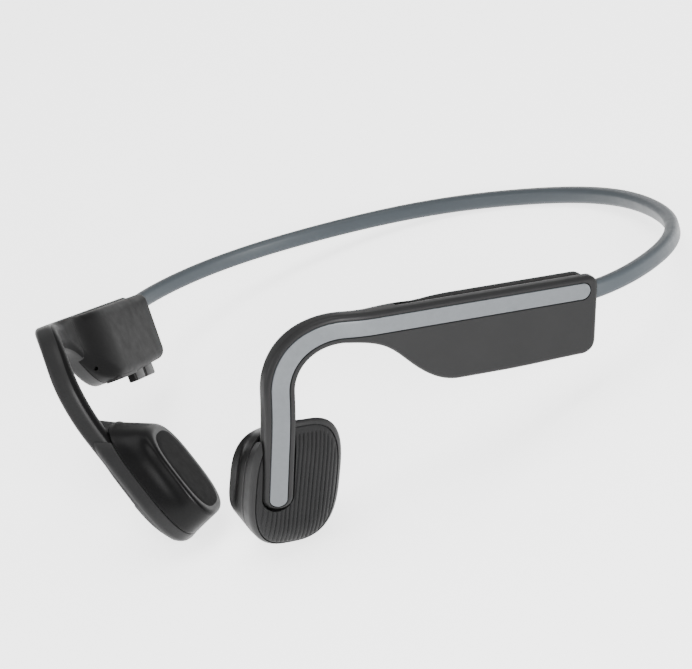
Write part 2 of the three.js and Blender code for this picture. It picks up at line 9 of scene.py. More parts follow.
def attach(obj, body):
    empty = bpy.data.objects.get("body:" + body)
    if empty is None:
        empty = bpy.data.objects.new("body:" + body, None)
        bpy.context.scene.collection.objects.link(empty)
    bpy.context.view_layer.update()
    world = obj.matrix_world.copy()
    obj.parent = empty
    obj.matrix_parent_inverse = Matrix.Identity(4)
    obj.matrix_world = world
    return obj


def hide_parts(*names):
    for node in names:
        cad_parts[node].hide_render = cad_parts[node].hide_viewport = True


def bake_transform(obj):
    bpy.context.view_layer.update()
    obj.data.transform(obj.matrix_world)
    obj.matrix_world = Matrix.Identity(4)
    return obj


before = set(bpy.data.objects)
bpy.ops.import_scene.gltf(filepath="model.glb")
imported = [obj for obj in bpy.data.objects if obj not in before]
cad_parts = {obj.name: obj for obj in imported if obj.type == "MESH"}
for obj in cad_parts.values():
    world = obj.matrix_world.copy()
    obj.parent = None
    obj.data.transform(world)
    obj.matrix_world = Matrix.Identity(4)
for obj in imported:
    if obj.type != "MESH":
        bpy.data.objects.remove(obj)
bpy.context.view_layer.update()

# ---- driving dimensions, mm: the same as the CAD model's ----
REST_TILT = -0.314
REST_LIFT = 1.747
REST_FORWARD = 1.68

POD_ORIGIN = (61.9, -6.7, 18.5)
POD_HEADING = 29.9
POD_PITCH = 24.9
PLATE_THICK = 3.0
POD_THICK = 7.5
POD_TOP = 2.65
POD_BOTTOM = -12.6
POD_REAR = -4.8
POD_LEAN = 1.1

ARM_WIDTH = 5.3
ARM_THICK = 4.8
HOOK_RADIUS = 11.3
HOOK_START = 44.8
HOOK_TURN = 92.0
ARM_DROP = 22.1
ARM_START = 34.6
HOOK_INSET = 6.4
INSET_FROM = 39.5
INSET_OVER = 23.5
ARM_TILT = 18.5
TILT_FROM = 6.0
TILT_RADIUS = 48.0
TILT_FADE = (36.0, 10.0)

STRIP_WIDTH = 3.0
STRIP_REAR = -3.1
STRIP_DEPTH = 0.9
STRIP_GAP = 0.14

HEAD_ORIGIN = (54.8, -32.0)
COVER_DEPTH = 5.2
HEAD_DEPTH = 12.2
OUTER_RECT = (-12.5, -15.4, 5.2, 15.4)
CONTACT_RECT = (-8.6, -14.7, 6.0, 5.7)
HEAD_SHEAR = 0.09
HEAD_EXPONENT = 2.9
PLATE_INSET = 0.9
PLATE_BACK = 2.6
DOME_REACH = 4.2
RIB_PITCH = 0.82
RIB_DEPTH = 0.24
RING_POINTS = 96

VOLUME_CENTRES = {"volume_up_button": 11.5, "volume_down_button": 5.4}
VOLUME_LENGTH = 5.3
VOLUME_Z = 4.6
KEY_Z = 4.95
KEY_GAP = 0.18
PORT_X = 20.4
STRAP_BEND = (-11.85, -12.1)

BAND_TILT = 15.3
BAND_LEVEL = 15.35
BAND_HEIGHT = 3.3
BAND_THICK = 2.8
BAND_BACK = 56.9
BAND_HALF_WIDTH = 65.0
BAND_SIDE = 8.8
BAND_SHOULDER = (43.6, 43.6)
BAND_DIAGONAL = 35.5
BAND_END = (60.2, -4.2)
STRAND_RADIUS = 0.4

SIDES = ("left", "right")


# ---- frames ----
def rest_matrix():
    tilt = Matrix.Rotation(math.radians(REST_TILT), 4, "X")
    return Matrix.Translation((0, REST_FORWARD, REST_LIFT)) @ tilt


def pod_matrix():
    heading, pitch = math.radians(POD_HEADING), math.radians(POD_PITCH)
    forward = Vector((
        -math.sin(heading) * math.cos(pitch),
        -math.cos(heading) * math.cos(pitch),
        math.sin(pitch),
    ))
    up = Vector((
        math.sin(heading) * math.sin(pitch),
        math.cos(heading) * math.sin(pitch),
        math.cos(pitch),
    ))
    basis = Matrix((forward, up, forward.cross(up))).transposed().to_4x4()
    return rest_matrix() @ Matrix.Translation(POD_ORIGIN) @ basis


def smooth(t):
    t = min(max(t, 0.0), 1.0)
    return t * t * (3 - 2 * t)


def arc_then_slope(distance, radius, degrees):
    angle = math.radians(degrees)
    reach = radius * math.sin(angle)
    if distance <= 0:
        return 0.0
    if distance < reach:
        return radius - math.sqrt(radius * radius - distance * distance)
    return radius * (1 - math.cos(angle)) + math.tan(angle) * (distance - reach)


def inset(x, y):
    """How far the side curves in towards the head."""
    lean = arc_then_slope(-y - TILT_FROM, TILT_RADIUS, ARM_TILT)
    fade_from, fade_over = TILT_FADE
    return HOOK_INSET * smooth((x - INSET_FROM) / INSET_OVER) + lean * smooth((x - fade_from) / fade_over)


def head_matrix():
    x, y = HEAD_ORIGIN
    lean = Matrix.Rotation(-math.radians(ARM_TILT), 4, "X")
    return POD @ Matrix.Translation((x, y, inset(x, y))) @ lean


POD = pod_matrix()
HEAD = head_matrix()
BAND = (
    rest_matrix()
    @ Matrix.Translation((0, 0, BAND_LEVEL))
    @ Matrix.Rotation(-math.radians(BAND_TILT), 4, "X")
)


# ---- meshes ----
def to_row(points, matrix, side):
    """Local millimetres to row-frame metres, mirrored on the right."""
    m = np.array(matrix)
    row = np.asarray(points, float) @ m[:3, :3].T + m[:3, 3]
    if side == "right":
        row = row * (-1, 1, 1)
    return row * 0.001


def new_object(name, points, faces, sharp=35.0):
    mesh = bpy.data.meshes.new(name)
    mesh.from_pydata([tuple(p) for p in points], [], faces)
    bm = bmesh.new()
    bm.from_mesh(mesh)
    bmesh.ops.recalc_face_normals(bm, faces=bm.faces)
    bm.to_mesh(mesh)
    bm.free()
    obj = bpy.data.objects.new(name, mesh)
    bpy.context.scene.collection.objects.link(obj)
    soften(obj, sharp)
    return obj


def soften(obj, sharp=35.0):
    obj.data.shade_smooth()
    obj.data.set_sharp_from_angle(angle=math.radians(sharp))


def skin(name, rings, matrix, side, sharp=35.0):
    """A closed skin over rings of equal length, with a fan over each end."""
    rings = np.asarray(rings, float)
    count, around = rings.shape[:2]
    points = to_row(rings.reshape(-1, 3), matrix, side)
    points = np.vstack([
        points,
        points[:around].mean(axis=0),
        points[-around:].mean(axis=0),
    ])
    first, last = count * around, count * around + 1
    faces = []
    for i in range(count - 1):
        for j in range(around):
            k = (j + 1) % around
            faces.append((i * around + j, i * around + k, (i + 1) * around + k, (i + 1) * around + j))
    top = (count - 1) * around
    for j in range(around):
        k = (j + 1) % around
        faces.append((first, k, j))
        faces.append((last, top + j, top + k))
    return new_object(name, points, faces, sharp)


def carve(obj, tools, operation="DIFFERENCE", sharp=35.0):
    for tool in tools:
        modifier = obj.modifiers.new("carve", "BOOLEAN")
        modifier.operation = operation
        modifier.solver = "MANIFOLD"
        modifier.object = tool
        bpy.context.view_layer.update()
        evaluated = obj.evaluated_get(bpy.context.evaluated_depsgraph_get())
        mesh = bpy.data.meshes.new_from_object(evaluated)
        obj.modifiers.clear()
        obj.data = mesh
        bpy.data.objects.remove(tool)
    soften(obj, sharp)
    return obj


def quarter(t, radius):
    """How far a rounded corner stands back at a distance t from its end."""
    if t >= radius:
        return 0.0
    return radius - math.sqrt(max(radius * radius - (radius - max(t, 0.0)) ** 2, 0.0))


def end_steps(radius, count):
    """Distances that follow a quarter circle evenly."""
    return [radius * (1 - math.cos(math.pi / 2 * i / count)) for i in range(count + 1)]


def bezier(p0, p1, p2, p3, t):
    s = 1 - t
    return (
        s ** 3 * np.array(p0)
        + 3 * s * s * t * np.array(p1)
        + 3 * s * t * t * np.array(p2)
        + t ** 3 * np.array(p3)
    )


def curve_table(*curves):
    """Points along joined Bezier curves, for reading one coordinate from another."""
    points = [bezier(*c, t) for c in curves for t in np.linspace(0, 1, 40)]
    return np.array(points)


# ---- the side: pod, hook and arm ----
EDGE = curve_table(
    ((23.2, POD_BOTTOM), (26.7, POD_BOTTOM), (29.6, -10.9), (32.6, -8.2)),
    ((32.6, -8.2), (36.0, -5.1), (37.8, -2.7), (46.0, -ARM_WIDTH / 2)),
)
STRAIGHT = HOOK_START - POD_REAR
ARC = HOOK_RADIUS * math.radians(HOOK_TURN)
LENGTH = STRAIGHT + ARC + ARM_DROP + ARM_WIDTH / 2


def lower_edge(x):
    if x <= 23.2:
        rise = 0.5 * (1 - smooth((x - POD_REAR) / 20))
        return POD_BOTTOM + rise
    return float(np.interp(x, EDGE[:, 0], EDGE[:, 1]))


def spine(s):
    """Centre line and across direction of the side at a distance s from its rear end."""
    if s <= STRAIGHT:
        return np.array((POD_REAR + s, 0.0)), np.array((0.0, 1.0))
    turn = math.radians(HOOK_TURN)
    angle = min((s - STRAIGHT) / HOOK_RADIUS, turn)
    across = np.array((math.sin(angle), math.cos(angle)))
    centre = np.array((HOOK_START, -HOOK_RADIUS)) + HOOK_RADIUS * across
    if s > STRAIGHT + ARC:
        heading = np.array((math.cos(turn), -math.sin(turn)))
        centre = centre + heading * (s - STRAIGHT - ARC)
    return centre, across


def on_side(s, e, z):
    centre, across = spine(s)
    x, y = centre + across * e
    if s < STRAIGHT:
        lean = POD_LEAN * (POD_TOP - y) / (POD_TOP - POD_BOTTOM)
        x += lean * (1 - smooth(s / 16))
    return x, y, z + inset(x, y)


def arc_points(cx, cy, radius, start, count):
    """A quarter circle of a section's corner, from start degrees, turning forwards."""
    angles = np.radians(start + 90 * np.arange(count + 1) / count)
    return [(cx + radius * math.cos(a), cy + radius * math.sin(a)) for a in angles]


def rounded_rect(x0, y0, x1, y1, radius, count):
    points = []
    for cx, cy, start in (
        (x1 - radius, y1 - radius, 0),
        (x0 + radius, y1 - radius, 90),
        (x0 + radius, y0 + radius, 180),
        (x1 - radius, y0 + radius, 270),
    ):
        points += arc_points(cx, cy, radius, start, count)
    return points


def side_section(a, b, z0, z1, outer, inner, low, groove, depth):
    """Rounded box from e = -b to a and z0 to z1 with a groove in its z0 face."""
    points = []
    points += arc_points(a - outer, z0 + outer, outer, -90, 6)[::-1]
    for t in (0.33, 0.66):
        points.append(((a - outer) * (1 - t) + groove * t, z0))
    rim = min(0.07, groove * 0.5, depth * 0.5)
    points += [(groove + rim, z0), (groove, z0 + rim), (groove, z0 + depth)]
    points += [(0.0, z0 + depth)]
    points += [(-groove, z0 + depth), (-groove, z0 + rim), (-groove - rim, z0)]
    for t in np.linspace(0, 1, 9)[1:-1]:
        points.append(((-groove - rim) * (1 - t) - (b - outer) * t, z0))
    points += arc_points(-b + outer, z0 + outer, outer, 180, 6)[::-1]
    for t in (0.33, 0.66):
        points.append((-b, (z0 + outer) * (1 - t) + (z1 - low) * t))
    points += arc_points(-b + low, z1 - low, low, 90, 6)[::-1]
    for t in np.linspace(0, 1, 13)[1:-1]:
        points.append(((-b + low) * (1 - t) + (a - inner) * t, z1))
    points += arc_points(a - inner, z1 - inner, inner, 0, 6)[::-1]
    for t in (0.33, 0.66):
        points.append((a, (z1 - inner) * (1 - t) + (z0 + outer) * t))
    return points


STRIP_START = STRIP_REAR - POD_REAR
STRIP_STOP = LENGTH - 0.75
GROOVE_HALF = STRIP_WIDTH / 2 + STRIP_GAP


def round_ended(s, start, stop, half):
    """Half width at s of a band with round ends."""
    t = min(s - start, stop - s)
    if t <= 0:
        return 0.0
    if t >= half:
        return half
    return math.sqrt(half * half - (half - t) ** 2)


def side_stations():
    radius = ARM_WIDTH / 2
    values = set(np.round(end_steps(2.6, 12), 4))
    values |= set(np.round(np.arange(2.6, LENGTH - radius, 0.5), 4))
    values |= {round(LENGTH - v, 4) for v in end_steps(radius, 12)}
    for start, way in ((STRIP_START - STRIP_GAP, 1), (STRIP_STOP + STRIP_GAP, -1)):
        values |= {round(start + way * v, 4) for v in end_steps(GROOVE_HALF, 10)}
        values.add(round(start - way * 0.02, 4))
    values |= {round(ARM_START - POD_REAR + v, 4) for v in (-0.06, 0.0, 0.1, 0.25)}
    kept = []
    for v in sorted(values):
        if not kept or v - kept[-1] > 0.008:
            kept.append(v)
    return kept


def outer_shell(side):
    rings = []
    join = ARM_START - POD_REAR
    for s in side_stations():
        x = POD_REAR + s
        a = POD_TOP
        b = -lower_edge(x) if s < STRAIGHT else ARM_WIDTH / 2
        rear = quarter(s, 2.0)
        low_rear = quarter(s, 2.6)
        tip = quarter(LENGTH - s, ARM_WIDTH / 2)
        a -= max(rear, tip)
        b -= max(low_rear, tip)
        z0 = quarter(s, 0.9) + quarter(LENGTH - s, 0.9)
        z1 = PLATE_THICK if s < join else ARM_THICK
        z1 -= quarter(s, 0.5) + quarter(LENGTH - s, 1.6)
        outer = min(0.9, (a + b) / 2 - 0.02)
        limit = min((a + b) / 2 - 0.02, (z1 - z0) * 0.48)
        arm_round = 1.2 + smooth((s - join) / 8)
        inner = min(0.9 if s < join else arm_round, limit)
        low = min(0.12 if s < join else arm_round, limit)
        outer = min(outer, (z1 - z0) * 0.48)
        groove = round_ended(s, STRIP_START - STRIP_GAP, STRIP_STOP + STRIP_GAP, GROOVE_HALF)
        depth = STRIP_DEPTH + 0.2 if groove > 0 else 0.0
        groove = max(min(groove, a - outer - 0.1), 0.004)
        section = side_section(a, b, z0, z1, outer, inner, low, groove, max(depth, 0.002))
        rings.append([on_side(s, e, z) for e, z in section])
    return skin(f"{side}_outer_shell_skin", rings, POD, side, 40)


def accent_strip(side):
    rings = []
    half = STRIP_WIDTH / 2
    stations = [STRIP_START + v for v in end_steps(half, 12)]
    stations += list(np.arange(STRIP_START + half + 0.4, STRIP_STOP - half - 0.2, 0.5))
    stations += [STRIP_STOP - v for v in end_steps(half, 12)][::-1]
    for s in stations:
        width = max(round_ended(s, STRIP_START, STRIP_STOP, half), 0.05)
        edge = min(0.1, width * 0.4)
        section = arc_points(width - edge, 0.03 + edge, edge, -90, 3)[::-1]
        section += [(e, 0.03) for e in np.linspace(width - edge, -width + edge, 7)[1:-1]]
        section += arc_points(-width + edge, 0.03 + edge, edge, 180, 3)[::-1]
        section += [(-width, STRIP_DEPTH), (0.0, STRIP_DEPTH), (width, STRIP_DEPTH)]
        rings.append([on_side(s, e, z) for e, z in section])
    return skin(f"{side}_accent_strip_inlay", rings, POD, side, 30)


# ---- the inner shell ----
FACET_TOP = Vector((36.5, -4, 3.6))
FACET_REAR = Vector((26, -11, 7.3))
FACET_LOW = Vector((30.5, -10.5, 4.0))
SEAM = PLATE_THICK + 0.05


def facet_normal():
    along = (FACET_REAR - FACET_TOP).normalized()
    normal = along.cross(FACET_LOW - FACET_TOP).normalized()
    return -normal if normal.y > 0 else normal


def bulge_depth(x):
    points = curve_table(
        ((22.0, POD_THICK), (29.5, POD_THICK), (31.5, ARM_THICK), (ARM_START - 0.06, ARM_THICK)),
    )
    return float(np.interp(x, points[:, 0], points[:, 1]))


def soft_clip(d, width=0.5):
    """Zero well below zero and d well above it, with a soft turn between."""
    if d <= -width:
        return 0.0
    if d >= width:
        return d
    return (d + width) ** 2 / (4 * width)


def inner_section(a, b, z0, z1, inner, outer, low=0.12):
    points = arc_points(a - outer, z0 + outer, outer, -90, 4)[::-1]
    points += [(e, z0) for e in np.linspace(a - outer, -b + low, 12)[1:-1]]
    points += arc_points(-b + low, z0 + low, low, 180, 4)[::-1]
    points += [(-b, z) for z in np.linspace(z0 + low, z1 - inner, 6)[1:-1]]
    points += arc_points(-b + inner, z1 - inner, inner, 90, 10)[::-1]
    points += [(e, z1) for e in np.linspace(-b + inner, a - inner, 22)[1:-1]]
    points += arc_points(a - inner, z1 - inner, inner, 0, 10)[::-1]
    points += [(a, z) for z in np.linspace(z1 - inner, z0 + outer, 5)[1:-1]]
    return points


def inner_shell(side):
    normal = facet_normal()
    front = ARM_START - 0.06 - POD_REAR
    stations = end_steps(2.4, 12) + list(np.arange(2.8, front - 0.3, 0.35)) + [front - 0.15, front]
    rings = []
    for s in stations:
        x = POD_REAR + 0.8 + s * (front - 0.8) / front
        blend = smooth((x - 28) / (ARM_START - 28))
        a = POD_TOP - 0.45 * (1 - blend) - quarter(s, 1.8)
        b = -lower_edge(x) - 0.03 - quarter(s, 2.4)
        z0 = SEAM
        z1 = bulge_depth(x) - quarter(s, 2.2)
        inner = min(1.9, (z1 - z0) * 0.7)
        section = inner_section(a, b, z0, z1, inner, min(0.9, (z1 - z0) * 0.25))
        ring = []
        for e, z in section:
            p = Vector((x + POD_LEAN * (POD_TOP - e) / (POD_TOP - POD_BOTTOM) * (1 - smooth(s / 16)), e, z))
            p -= normal * soft_clip((p - FACET_TOP).dot(normal))
            p.z = max(p.z, SEAM)
            ring.append((p.x, p.y, p.z + inset(p.x, p.y)))
        rings.append(ring)
    shell = skin(f"{side}_inner_shell_skin", rings, POD, side, 40)
    if side == "right":
        carve(shell, right_openings(), sharp=30)
    return shell


def soft_box(name, low, high, side, radius):
    """A block along the pod's y axis with rounded upright edges and softened ends."""
    (x0, y0, z0), (x1, y1, z1) = low, high
    radius = min(radius, (x1 - x0) / 2 - 0.01, (z1 - z0) / 2 - 0.01)
    round_end = radius * 0.8
    ends = [(t, quarter(t, round_end)) for t in end_steps(round_end, 4)]
    rings = []
    for y, back in [(y0 + t, back) for t, back in ends] + [(y1 - t, back) for t, back in ends[::-1]]:
        corner = max(radius - back, 0.02)
        outline = rounded_rect(x0 + back, z0 + back, x1 - back, z1 - back, corner, 4)
        rings.append([(x, y, z) for x, z in outline])
    return skin(name, rings, POD, side, 30)


def rod_tool(start, end, radius, side, segments=20):
    start, end = Vector(start), Vector(end)
    along = (end - start).normalized()
    across = along.orthogonal().normalized()
    other = along.cross(across)
    turns = [math.tau * i / segments for i in range(segments)]
    spokes = [radius * (across * math.cos(t) + other * math.sin(t)) for t in turns]
    rings = [[tuple(centre + spoke) for spoke in spokes] for centre in (start, end)]
    return skin("tool", rings, POD, side)


def right_openings():
    """Tools for the microphone hole, the key wells, the lid's seat and the mouth of the port."""
    side = "right"
    tools = [rod_tool((32.3, -9.3, 5.4), (29.2, -8.55, 3.45), 0.45, side)]
    for centre in VOLUME_CENTRES.values():
        half = VOLUME_LENGTH / 2 + KEY_GAP
        low = (centre - half, -16, VOLUME_Z - 1 - KEY_GAP)
        high = (centre + half, -10.6, VOLUME_Z + 1 + KEY_GAP)
        tools.append(soft_box("tool", low, high, side, 0.4))
    seat_low = (PORT_X - 5.45, -16, KEY_Z - 1.95)
    seat_high = (PORT_X + 5.15, POD_BOTTOM + 0.7, KEY_Z + 1.95)
    tools.append(soft_box("tool", seat_low, seat_high, side, 1.2))
    mouth_low = (PORT_X - 4.6, -14, KEY_Z - 1.7)
    mouth_high = (PORT_X + 4.6, POD_BOTTOM + 4, KEY_Z + 1.7)
    tools.append(soft_box("tool", mouth_low, mouth_high, side, 1.5))
    return tools


# ---- the transducer ----
def head_rect(z, inward=0.0):
    t = z / HEAD_DEPTH
    low = [o + (c - o) * t for o, c in zip(OUTER_RECT, CONTACT_RECT)]
    return low[0] + inward, low[1] + inward, low[2] - inward, low[3] - inward


def head_ring(z, inward=0.0, level=None):
    """Outline of the head at a depth z, drawn at level instead where one is given."""
    x0, y0, x1, y1 = head_rect(z, inward)
    ring = []
    for i in range(RING_POINTS):
        angle = math.tau * i / RING_POINTS
        c, s = math.cos(angle), math.sin(angle)
        px = math.copysign(abs(c) ** (2 / HEAD_EXPONENT), c)
        py = math.copysign(abs(s) ** (2 / HEAD_EXPONENT), s)
        x = (x0 + x1) / 2 + px * (x1 - x0) / 2
        drop = HEAD_SHEAR * px * (x1 - x0) / 2 * z / HEAD_DEPTH
        y = (y0 + y1) / 2 + py * (y1 - y0) / 2 - drop
        ring.append((x, y, z if level is None else level))
    return ring


def arm_slot(side, grow, low, high):
    """A tool as wide as the arm's lower end and a clearance, with its round tip."""
    half = ARM_WIDTH / 2 + grow
    stop = LENGTH + grow
    stations = list(np.arange(STRAIGHT - 2, stop - half, 1.0))
    stations += [stop - v for v in end_steps(half, 14)][::-1]
    rings = []
    for s in stations:
        width = max(round_ended(s, 0, stop, half), 0.02)
        section = [(width, low), (-width, low), (-width, high), (width, high)]
        rings.append([on_side(s, e, z) for e, z in section])
    return skin("tool", rings, POD, side)


def dome(x, y, away):
    """How far the outer face falls inwards at a distance from its edge, most in front and below."""
    x0, y0, x1, y1 = OUTER_RECT
    across = (2 * x - x0 - x1) / (x1 - x0)
    upwards = (2 * y - y0 - y1) / (y1 - y0)
    fall = 1.6 + 1.2 * smooth(((across - upwards) / math.sqrt(2) + 0.5) / 1.2)
    corner = max(0.0, 1 - away / 0.4)
    return fall * max(0.0, 1 - away / DOME_REACH) ** 2 + 0.25 * corner * corner


def dome_ring(away):
    return [(x, y, dome(x, y, away)) for x, y, _ in head_ring(1.5, away)]


def transducer_cover(side):
    """Outer half of the head, with a bevelled well for the ribbed plate and a slot for the arm."""
    floor = PLATE_BACK + 0.5
    rings = [head_ring(1.5, PLATE_INSET + 0.42, level=floor)]
    rings += [head_ring(1.5, PLATE_INSET + 0.4, level=floor - 0.02)]
    rings += [head_ring(1.5, PLATE_INSET, level=floor - 0.65)]
    rings += [[(x, y, z + 0.12) for x, y, z in dome_ring(PLATE_INSET)]]
    rings += [dome_ring(away) for away in (PLATE_INSET - 0.08, 0.7, 0.55, 0.4, 0.3, 0.2, 0.12, 0.05, 0.0)]
    rim = [z for _, _, z in rings[-1]]
    for t in (0.2, 0.45, 0.7, 0.9):
        wall = head_ring(1.5 + t * (COVER_DEPTH - 1.5), 0.0)
        rings.append([(x, y, low + t * (COVER_DEPTH - 0.12 - low)) for (x, y, _), low in zip(wall, rim)])
    rings += [head_ring(COVER_DEPTH, 0.02, level=COVER_DEPTH - 0.12)]
    rings += [head_ring(COVER_DEPTH, 0.14)]
    cover = skin(f"{side}_transducer_cover_skin", rings, HEAD, side, 50)
    return carve(cover, [arm_slot(side, 0.3, -6, ARM_THICK + 0.12)], sharp=35)


def rib_height(x):
    """Depth of the grooves between the ribs at x."""
    t = (x - OUTER_RECT[0]) / RIB_PITCH
    away = abs(t - round(t)) * RIB_PITCH
    return RIB_DEPTH * math.exp(-((away / 0.14) ** 2))


def ribbed_plate(side, name):
    """Ribbed plate as a fine grid, cut to its outline with a bevelled back, and to the arm."""
    edge = PLATE_INSET + 0.08
    x0, y0, x1, y1 = head_rect(1.5, edge)
    cx, cy, hx, hy = (x0 + x1) / 2, (y0 + y1) / 2, (x1 - x0) / 2, (y1 - y0) / 2
    xs = [x0 - 0.05]
    while xs[-1] < x1:
        t = (xs[-1] - OUTER_RECT[0]) / RIB_PITCH
        near = abs(t - round(t)) * RIB_PITCH < 0.26
        xs.append(xs[-1] + (0.065 if near else 0.13))
    ys = np.linspace(y0 - 0.05, y1 + 0.05, 90)
    n = HEAD_EXPONENT
    points, faces = [], []
    for y in ys:
        for x in xs:
            r = (abs((x - cx) / hx) ** n + abs((y - cy) / hy) ** n) ** (1 / n)
            away = max((1 - r) * min(hx, hy), -0.1)
            lip = 0.15 * max(0.0, 1 - away / 0.25) ** 2
            fade = smooth((away - 0.1) / 0.7) * smooth((y1 - 0.9 - y) / 0.7)
            points.append((x, y, 0.08 + dome(x, y, away + edge) + lip + rib_height(x) * fade))
    count = len(points)
    points += [(x, y, PLATE_BACK) for y in ys for x in xs]
    w, h = len(xs), len(ys)
    for j in range(h - 1):
        for i in range(w - 1):
            a = j * w + i
            faces.append((a, a + 1, a + w + 1, a + w))
            faces.append((count + a, count + a + w, count + a + w + 1, count + a + 1))
    border = (
        [(i, i + 1) for i in range(w - 1)]
        + [((h - 1) * w + i + 1, (h - 1) * w + i) for i in range(w - 1)]
        + [((j + 1) * w, j * w) for j in range(h - 1)]
        + [(j * w + w - 1, (j + 1) * w + w - 1) for j in range(h - 1)]
    )
    faces += [(a, count + a, count + b, b) for a, b in border]
    plate = new_object(name, to_row(points, HEAD, side), faces, 60)
    outline = [head_ring(1.5, edge, level=-1), head_ring(1.5, edge, level=PLATE_BACK - 0.7)]
    outline += [head_ring(1.5, edge + 0.55, level=PLATE_BACK)]
    outline += [head_ring(1.5, edge + 0.6, level=PLATE_BACK + 0.3)]
    outline = skin("tool", outline, HEAD, side)
    carve(plate, [outline], "INTERSECT", 60)
    return carve(plate, [arm_slot(side, 0.32, -6, 6)], sharp=60)


def transducer_housing(side):
    """Side wall that hollows in behind the rim before it meets the contact face."""
    seam = COVER_DEPTH + 0.12
    rings = [head_ring(seam, 0.9, level=seam), head_ring(seam, 0.16, level=seam)]
    rings += [head_ring(seam, 0.04, level=seam + 0.1), head_ring(seam, 0.0, level=seam + 0.25)]
    for z in np.linspace(seam + 0.5, HEAD_DEPTH - 0.9, 22):
        rings.append(head_ring(z))
    radius = 0.9
    for t in end_steps(radius, 8)[::-1][1:]:
        rings.append(head_ring(HEAD_DEPTH - t, quarter(t, radius), level=HEAD_DEPTH - t - 0.02))
    rings.append(head_ring(HEAD_DEPTH, radius + 1.2, level=HEAD_DEPTH - 0.02))
    rings.append(head_ring(HEAD_DEPTH, radius + 3.0, level=HEAD_DEPTH - 0.02))
    shaped = []
    for ring in rings:
        moved = []
        for x, y, z in ring:
            front = smooth((x - 0.5) / 5.0)
            up = smooth((y + 11.5) / 7.0)
            depth = math.exp(-(((z - 9.9) / 1.5) ** 2))
            scale = 1 - 0.12 * front * up * depth
            moved.append((x * scale, y, z))
        shaped.append(moved)
    return skin(f"{side}_transducer_housing_skin", shaped, HEAD, side, 45)


def contact_pad(side):
    rings = [head_ring(HEAD_DEPTH, 1.4, level=HEAD_DEPTH - back) for back in (0.6, 0.2)]
    for t in end_steps(0.2, 4)[::-1]:
        rings.append(head_ring(HEAD_DEPTH, 1.4 + quarter(t, 0.2), level=HEAD_DEPTH - t))
    rings.append(head_ring(HEAD_DEPTH, 3.0))
    return skin(f"{side}_contact_pad_skin", rings, HEAD, side, 45)


# ---- what shows on the right pod ----
def volume_key(name):
    half = VOLUME_LENGTH / 2
    x = VOLUME_CENTRES[name]
    low = (x - half, POD_BOTTOM - 1.9, VOLUME_Z - 1)
    high = (x + half, -9.7, VOLUME_Z + 1)
    return soft_box(f"{name}_cap", low, high, "right", 0.45)


def usb_cover():
    base = POD_BOTTOM - 0.12
    low = (PORT_X - 5.3, base, KEY_Z - 1.8)
    high = (PORT_X + 5.0, base + 0.75, KEY_Z + 1.8)
    return soft_box("usb_cover_flap", low, high, "right", 1.0)


def cover_strap():
    """The soft strap that ties the port cover to the pod."""
    root, tip = STRAP_BEND
    levels = [root + v for v in (0.65, 0.35, 0.1)] + list(np.linspace(root, tip, 15))
    levels += [tip - v for v in (0.1, 0.2)]
    outline = rounded_rect(PORT_X + 4.55, KEY_Z - 1.1, PORT_X + 4.91, KEY_Z + 1.1, 0.15, 4)
    rings = [[(x, y, z) for x, z in outline] for y in levels]
    return skin("usb_cover_strap", rings, POD, "right", 60)


# ---- the neckband ----
def band_curves():
    slope = math.radians(BAND_DIAGONAL)
    heading = np.array((math.cos(slope), -math.sin(slope)))
    shoulder = np.array(BAND_SHOULDER)
    side = (BAND_HALF_WIDTH, BAND_SIDE)
    return (
        ((0, BAND_BACK), (19, BAND_BACK), shoulder - 15 * heading, shoulder),
        (shoulder, shoulder + 15.3 * heading, (BAND_HALF_WIDTH, BAND_SIDE + 15.3), side),
        (side, (BAND_HALF_WIDTH, BAND_SIDE - 4.5), (64, -0.8), BAND_END),
    )


def band_tube(name, side, section, trim):
    """Half of a tube of that section along the band, from its middle to its end inside the pod."""
    path = curve_table(*band_curves())
    steps = np.r_[0, np.cumsum(np.linalg.norm(np.diff(path, axis=0), axis=1))]
    keep = np.r_[True, np.diff(steps) > 1e-6]
    path, steps = path[keep], steps[keep]
    places = np.linspace(0, steps[-1] - trim, 230)
    centres = np.c_[np.interp(places, steps, path[:, 0]), np.interp(places, steps, path[:, 1])]
    for _ in range(6):
        centres[1:-1] = (centres[:-2] + 2 * centres[1:-1] + centres[2:]) / 4
    ahead = np.gradient(centres, axis=0)
    ahead /= np.linalg.norm(ahead, axis=1)[:, None]
    ahead[0] = (1, 0)
    rings = []
    for (x, y), (dx, dy) in zip(centres, ahead):
        rings.append([(x - dy * e, y + dx * e, z) for e, z in section])
    return skin(f"{name}_{side}_half", rings, BAND, side, 60)


def sleeve_section():
    thick, height = BAND_THICK / 2, BAND_HEIGHT / 2
    return rounded_rect(-thick, -height, thick, height, 1.0, 7)


def strand_section(z, count=12):
    turns = [math.tau * i / count for i in range(count)]
    return [(STRAND_RADIUS * math.cos(t), z + STRAND_RADIUS * math.sin(t)) for t in turns]


# ---- materials ----
GRAIN_DEPTH = 0.00002


def new_material(name, roughness, metallic=0.0, **sockets):
    material = bpy.data.materials.new(name)
    material.use_nodes = True
    tree = material.node_tree
    shader = tree.nodes["Principled BSDF"]
    shader.inputs["Roughness"].default_value = roughness
    shader.inputs["Metallic"].default_value = metallic
    for socket, value in sockets.items():
        shader.inputs[socket.replace("_", " ")].default_value = value
    coordinates = tree.nodes.new("ShaderNodeTexCoord")
    return material, tree, shader, coordinates.outputs["Object"]


def noise(tree, vector, scale, detail=3.0, rough=0.5):
    node = tree.nodes.new("ShaderNodeTexNoise")
    node.inputs["Scale"].default_value = scale
    node.inputs["Detail"].default_value = detail
    node.inputs["Roughness"].default_value = rough
    tree.links.new(vector, node.inputs["Vector"])
    return node.outputs["Fac"]


